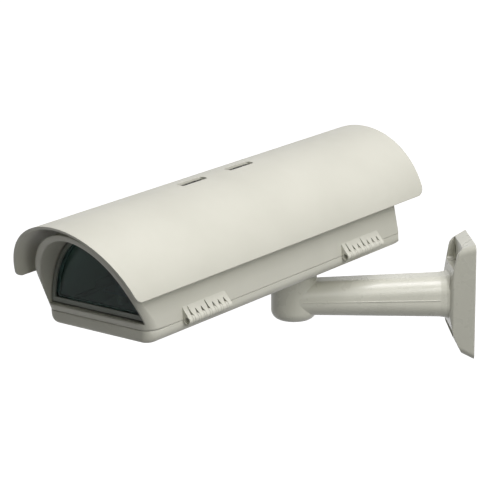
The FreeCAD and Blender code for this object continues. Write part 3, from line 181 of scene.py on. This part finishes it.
class Shader:
    """Builds one node material around a Principled shader."""

    def __init__(self, name, color, roughness, metallic=0.0):
        self.material = bpy.data.materials.new(name)
        self.material.use_nodes = True
        self.tree = self.material.node_tree
        self.body = self.tree.nodes["Principled BSDF"]
        self.body.inputs["Base Color"].default_value = (*color, 1.0)
        self.body.inputs["Roughness"].default_value = roughness
        self.body.inputs["Metallic"].default_value = metallic
        self.place = self.tree.nodes.new("ShaderNodeTexCoord").outputs["Object"]

    def noise(self, scale, detail, stretch=None):
        node = self.tree.nodes.new("ShaderNodeTexNoise")
        node.inputs["Scale"].default_value = scale
        node.inputs["Detail"].default_value = detail
        source = self.place
        if stretch:
            mapping = self.tree.nodes.new("ShaderNodeMapping")
            mapping.inputs["Scale"].default_value = stretch
            self.tree.links.new(source, mapping.inputs["Vector"])
            source = mapping.outputs["Vector"]
        self.tree.links.new(source, node.inputs["Vector"])
        return node.outputs["Fac"]

    def ramp(self, value, low, high):
        """Colours or grey levels between two stops."""
        node = self.tree.nodes.new("ShaderNodeValToRGB")
        stops = node.color_ramp.elements
        stops[0].position, stops[1].position = 0.3, 0.7
        for stop, level in zip(stops, (low, high)):
            level = (level, level, level) if isinstance(level, float) else level
            stop.color = (*level, 1.0)
        self.tree.links.new(value, node.inputs["Fac"])
        return node.outputs["Color"]

    def color(self, low, high, scale, stretch=None):
        shade = self.ramp(self.noise(scale, 4.0, stretch), low, high)
        self.tree.links.new(shade, self.body.inputs["Base Color"])

    def rough(self, low, high, scale, stretch=None):
        shade = self.ramp(self.noise(scale, 3.0, stretch), low, high)
        self.tree.links.new(shade, self.body.inputs["Roughness"])

    def distance_behind_front(self):
        """How far a point lies behind the housing's front edge."""
        offset = self.tree.nodes.new("ShaderNodeVectorMath")
        offset.operation = "SUBTRACT"
        offset.inputs[1].default_value = HOUSING_FRONT
        self.tree.links.new(self.place, offset.inputs[0])
        along = self.tree.nodes.new("ShaderNodeVectorMath")
        along.operation = "DOT_PRODUCT"
        along.inputs[1].default_value = HOUSING_ALONG
        self.tree.links.new(offset.outputs["Vector"], along.inputs[0])
        return along.outputs["Value"]

    def front_radius(self):
        """Edge radius that is large at the housing's front corners and fine behind them."""
        fade = map_range(self.tree, SOFT_DEPTH, (SOFT_CORNER, FINE_EDGE))
        self.tree.links.new(self.distance_behind_front(), fade.inputs["Value"])
        return fade.outputs["Result"]

    def bump(self, scale, height, edge):
        """Fine relief, on edges softened by the given radius, which may be a socket."""
        node = self.tree.nodes.new("ShaderNodeBump")
        node.inputs["Distance"].default_value = height
        node.inputs["Strength"].default_value = 1.0
        self.tree.links.new(self.noise(scale, 2.0), node.inputs["Height"])
        if edge:
            bevel = self.tree.nodes.new("ShaderNodeBevel")
            bevel.samples = 6
            if isinstance(edge, float):
                bevel.inputs["Radius"].default_value = edge
            else:
                self.tree.links.new(edge, bevel.inputs["Radius"])
            self.tree.links.new(bevel.outputs["Normal"], node.inputs["Normal"])
        self.tree.links.new(node.outputs["Normal"], self.body.inputs["Normal"])


def map_range(tree, source, target):
    """Node that carries one range of values onto another."""
    node = tree.nodes.new("ShaderNodeMapRange")
    names = ("From Min", "From Max", "To Min", "To Max")
    for name, value in zip(names, (*source, *target)):
        node.inputs[name].default_value = value
    return node


def make_materials():
    """One material for each finish, by name."""
    made = {}
    for name, finish in FINISHES.items():
        shader = Shader(name, finish.base, finish.gloss, finish.metallic)
        shader.color(*finish.colors, finish.color_scale, finish.stretch)
        shader.rough(*finish.rough, finish.rough_scale, finish.stretch)
        if finish.relief:
            edge = shader.front_radius() if name == "casting_paint" else finish.edge
            shader.bump(finish.relief_scale, finish.relief, edge)
        if name == "window_glass":
            shader.body.inputs["Transmission Weight"].default_value = 1.0
            shader.body.inputs["IOR"].default_value = PANE_INDEX
        made[name] = shader.material
    return made


def dress_nodes(finishes):
    """Give every CAD node the finish that the record names for it, and tray and cover the casting
    paint.
    """
    slots = {part["node"]: part["material_slot"] for part in frame["record"]["subparts"]}
    slots.update(cover_shell="casting_paint", base_tray="casting_paint")
    for name, item in NODES.items():
        item.data.materials.clear()
        item.data.materials.append(finishes[slots[name]])


# Rounded castings

def housing_point(across, along, up):
    return HOUSING_FRONT + across * HOUSING_ACROSS + along * HOUSING_ALONG + up * HOUSING_UP


def link_object(name, data):
    item = bpy.data.objects.new(name, data)
    bpy.context.scene.collection.objects.link(item)
    return item


def mesh_object(name, mesh):
    data = bpy.data.meshes.new(name)
    mesh.to_mesh(data)
    mesh.free()
    return link_object(name, data)


def ring_solid(name, rings):
    """Closed solid whose walls join rings of points, with a flat face at either end."""
    mesh = bmesh.new()
    rings = [[mesh.verts.new(point) for point in ring] for ring in rings]
    mesh.faces.new(rings[0])
    mesh.faces.new(rings[-1])
    for first, second in zip(rings, rings[1:]):
        for index in range(len(first)):
            mesh.faces.new((first[index - 1], first[index], second[index], second[index - 1]))
    bmesh.ops.recalc_face_normals(mesh, faces=mesh.faces)
    return mesh_object(name, mesh)


def prism(name, plan, low, high, lean=0.0):
    """Closed solid over a plan in the housing's axes, carried forward as it rises if it leans."""
    rings = [[housing_point(x, y - lean * z, z) for x, y in plan] for z in (low, high)]
    return ring_solid(name, rings)


def quarter_turns(steps):
    return [math.radians(90.0 * step / steps) for step in range(steps + 1)]


def corner_arc(side, radius):
    """Quarter circle round the centre of one front corner, from the side to the front."""
    centre = SHELL_HALF - CORNER_RADIUS
    return [(side * (centre + radius * math.cos(turn)), CORNER_RADIUS - radius * math.sin(turn))
            for turn in quarter_turns(CORNER_STEPS)]


def corner_cutter(side, low, high, lean=0.0, radius=CORNER_RADIUS):
    """Everything outside the rounding of one front corner."""
    inner, outer = side * (SHELL_HALF - CORNER_RADIUS), side * (SHELL_HALF + OVERSHOOT)
    around = [(inner, -OVERSHOOT), (outer, -OVERSHOOT), (outer, CORNER_RADIUS)]
    return prism("corner_cutter", corner_arc(side, radius) + around, low, high, lean)


def corner_band(side, outer, inner, low, high):
    """Quarter ring round one front corner, between two depths inside the skin."""
    plan = corner_arc(side, CORNER_RADIUS - outer) + corner_arc(side, CORNER_RADIUS - inner)[::-1]
    return prism("corner_band", plan, low, high)


def inset(level, radius):
    """How far a rounded lower edge lies inside the skin at one level."""
    below = TRAY_BOTTOM + radius - level
    return 0.0 if below <= 0.0 else radius - math.sqrt(max(radius ** 2 - below ** 2, 0.0))


def tray_plan(side, level):
    """Outside of one front corner of the tray at one level, closed round the outer side."""
    across, front = inset(level, SIDE_ROUND), inset(level, FRONT_ROUND)
    radius = max(CORNER_RADIUS - (across + front) / 2, SMALLEST_CORNER)
    edge, nose = SHELL_HALF - across + CLEAR_OF_SKIN, front - CLEAR_OF_SKIN
    limit, outer = SHELL_HALF - CORNER_REACH, SHELL_HALF + OVERSHOOT
    plan = [(edge, CORNER_REACH)]
    for turn in quarter_turns(CORNER_STEPS):
        plan.append((edge - radius + radius * math.cos(turn), nose + radius - radius * math.sin(turn)))
    plan += [(limit, nose), (limit, -OVERSHOOT), (outer, -OVERSHOOT), (outer, CORNER_REACH)]
    return [(side * x, y) for x, y in plan]


def tray_corner_cutter(side):
    """Everything outside one front corner of the tray, with its lower edge rounded all round."""
    levels = [TRAY_BOTTOM + SIDE_ROUND * (1.0 - math.sin(turn)) for turn in quarter_turns(ROUND_STEPS)]
    rings = [[housing_point(x, y, z) for x, y in tray_plan(side, z)] for z in [LEVEL_SPARE] + levels]
    rings.append([point - LEVEL_SPARE * HOUSING_UP for point in rings[-1]])
    return ring_solid("tray_corner_cutter", rings)


def round_casting(node, body, material, steps):
    """Copy of a CAD node with its front corners rounded, which replaces the node."""
    mesh = bmesh.new()
    mesh.from_mesh(NODES[node].data)
    bmesh.ops.remove_doubles(mesh, verts=mesh.verts, dist=MERGE_DISTANCE)
    piece = mesh_object(node + "_rounded", mesh)
    for operation, tool in steps:
        change = piece.modifiers.new(tool.name, "BOOLEAN")
        change.operation = operation
        change.solver = "EXACT"
        change.object = tool
    shaped = piece.evaluated_get(bpy.context.evaluated_depsgraph_get())
    result = bpy.data.meshes.new_from_object(shaped)
    piece.modifiers.clear()
    piece.data = result
    for _, tool in steps:
        bpy.data.objects.remove(tool)
    # The CAD mesh's own normals no longer fit the new faces
    if "custom_normal" in result.attributes:
        result.attributes.remove(result.attributes["custom_normal"])
    result.polygons.foreach_set("use_smooth", [True] * len(result.polygons))
    result.set_sharp_from_angle(angle=SHARP_ANGLE)
    result.materials.clear()
    result.materials.append(material)
    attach(piece, body)
    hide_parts(node)


def round_castings(finishes):
    """Give tray, seal and cover the large rounding of the two front corners."""
    paint, rubber = finishes["casting_paint"], finishes["black_rubber"]
    steps = [("UNION", corner_band(side, *RIM, GROOVE_FLOOR, TRAY_TOP)) for side in SIDES]
    steps += [("DIFFERENCE", corner_band(side, *GROOVE, GROOVE_FLOOR, LEVEL_SPARE)) for side in SIDES]
    steps += [("DIFFERENCE", tray_corner_cutter(side)) for side in SIDES]
    round_casting("base_tray", "base", paint, steps)

    low, radius = TRAY_BOTTOM - OVERSHOOT, CORNER_RADIUS - GASKET[0]
    steps = [("DIFFERENCE", corner_cutter(side, low, LEVEL_SPARE, radius=radius)) for side in SIDES]
    steps += [("UNION", corner_band(side, *GASKET, *GASKET_LEVELS)) for side in SIDES]
    round_casting("tray_gasket", "base", rubber, steps)

    steps = [("DIFFERENCE", corner_cutter(side, -LEVEL_SPARE, COVER_HEIGHT, WINDOW_LEAN))
             for side in SIDES]
    round_casting("cover_shell", "cover", paint, steps)


# Surroundings

def seen_rays(tree):
    """1 for what the camera, reflections and glass see, 0 for light on the object."""
    path = tree.nodes.new("ShaderNodeLightPath")
    total = path.outputs["Is Camera Ray"]
    for name in ("Is Glossy Ray", "Is Transmission Ray"):
        larger = tree.nodes.new("ShaderNodeMath")
        larger.operation = "MAXIMUM"
        tree.links.new(total, larger.inputs[0])
        tree.links.new(path.outputs[name], larger.inputs[1])
        total = larger.outputs[0]
    return total


def distance_share(tree, place):
    """The floor's share of its glow, which grows with the distance from the floor's middle."""
    length = tree.nodes.new("ShaderNodeVectorMath")
    length.operation = "LENGTH"
    tree.links.new(place, length.inputs[0])
    reach = map_range(tree, GLOW_REACH, GLOW_SHARE)
    reach.interpolation_type = "SMOOTHSTEP"
    tree.links.new(length.outputs["Value"], reach.inputs["Value"])
    return reach.outputs["Result"]


def make_floor():
    """Pale floor that the camera sees as white away from the object, and shaded under it."""
    bpy.ops.mesh.primitive_plane_add(size=FLOOR_SIZE, location=(0.0, 0.0, FLOOR_LEVEL))
    floor = bpy.context.object
    floor.name = "studio_floor"
    pale = Shader("floor_paint", (0.30, 0.30, 0.30), 0.9)
    pale.color((0.29, 0.29, 0.29), (0.31, 0.31, 0.31), 2.0)
    tree = pale.tree
    level = tree.nodes.new("ShaderNodeMath")
    level.operation = "MULTIPLY"
    tree.links.new(seen_rays(tree), level.inputs[0])
    tree.links.new(distance_share(tree, pale.place), level.inputs[1])
    glow = tree.nodes.new("ShaderNodeEmission")
    tree.links.new(level.outputs[0], glow.inputs["Strength"])
    both = tree.nodes.new("ShaderNodeAddShader")
    tree.links.new(pale.body.outputs[0], both.inputs[0])
    tree.links.new(glow.outputs[0], both.inputs[1])
    tree.links.new(both.outputs[0], tree.nodes["Material Output"].inputs["Surface"])
    floor.data.materials.append(pale.material)


def make_world():
    """Soft light from all sides, and plain white where it is seen."""
    world = bpy.data.worlds.new("studio")
    bpy.context.scene.world = world
    world.use_nodes = True
    tree = world.node_tree
    sky = tree.nodes["Background"]
    sky.inputs["Color"].default_value = (1.0, 1.0, 1.0, 1.0)
    level = map_range(tree, (0.0, 1.0), (SKY_LEVEL, 1.0))
    tree.links.new(seen_rays(tree), level.inputs["Value"])
    tree.links.new(level.outputs["Result"], sky.inputs["Strength"])


def make_lights():
    for name, (place, size, power, color) in LIGHTS.items():
        light = bpy.data.lights.new(name, "AREA")
        light.size = size
        light.energy = power
        light.color = color
        item = link_object(name, light)
        item.location = place
        item.rotation_euler = (LIGHT_TARGET - Vector(place)).to_track_quat("-Z", "Y").to_euler()


def make_camera():
    camera = bpy.data.cameras.new("camera")
    camera.sensor_width = SENSOR_WIDTH
    camera.lens = SENSOR_WIDTH * FOCAL_PIXELS / PICTURE_PIXELS
    camera.clip_start = 0.05
    item = link_object("camera", camera)
    turn = Matrix((CAMERA_RIGHT, -CAMERA_DOWN, -CAMERA_AHEAD)).transposed().to_4x4()
    item.matrix_world = Matrix.Translation(CAMERA_PLACE) @ turn
    bpy.context.scene.camera = item


materials = make_materials()
dress_nodes(materials)
round_castings(materials)
make_floor()
make_world()
make_lights()
make_camera()
bpy.context.scene.view_settings.view_transform = "Standard"
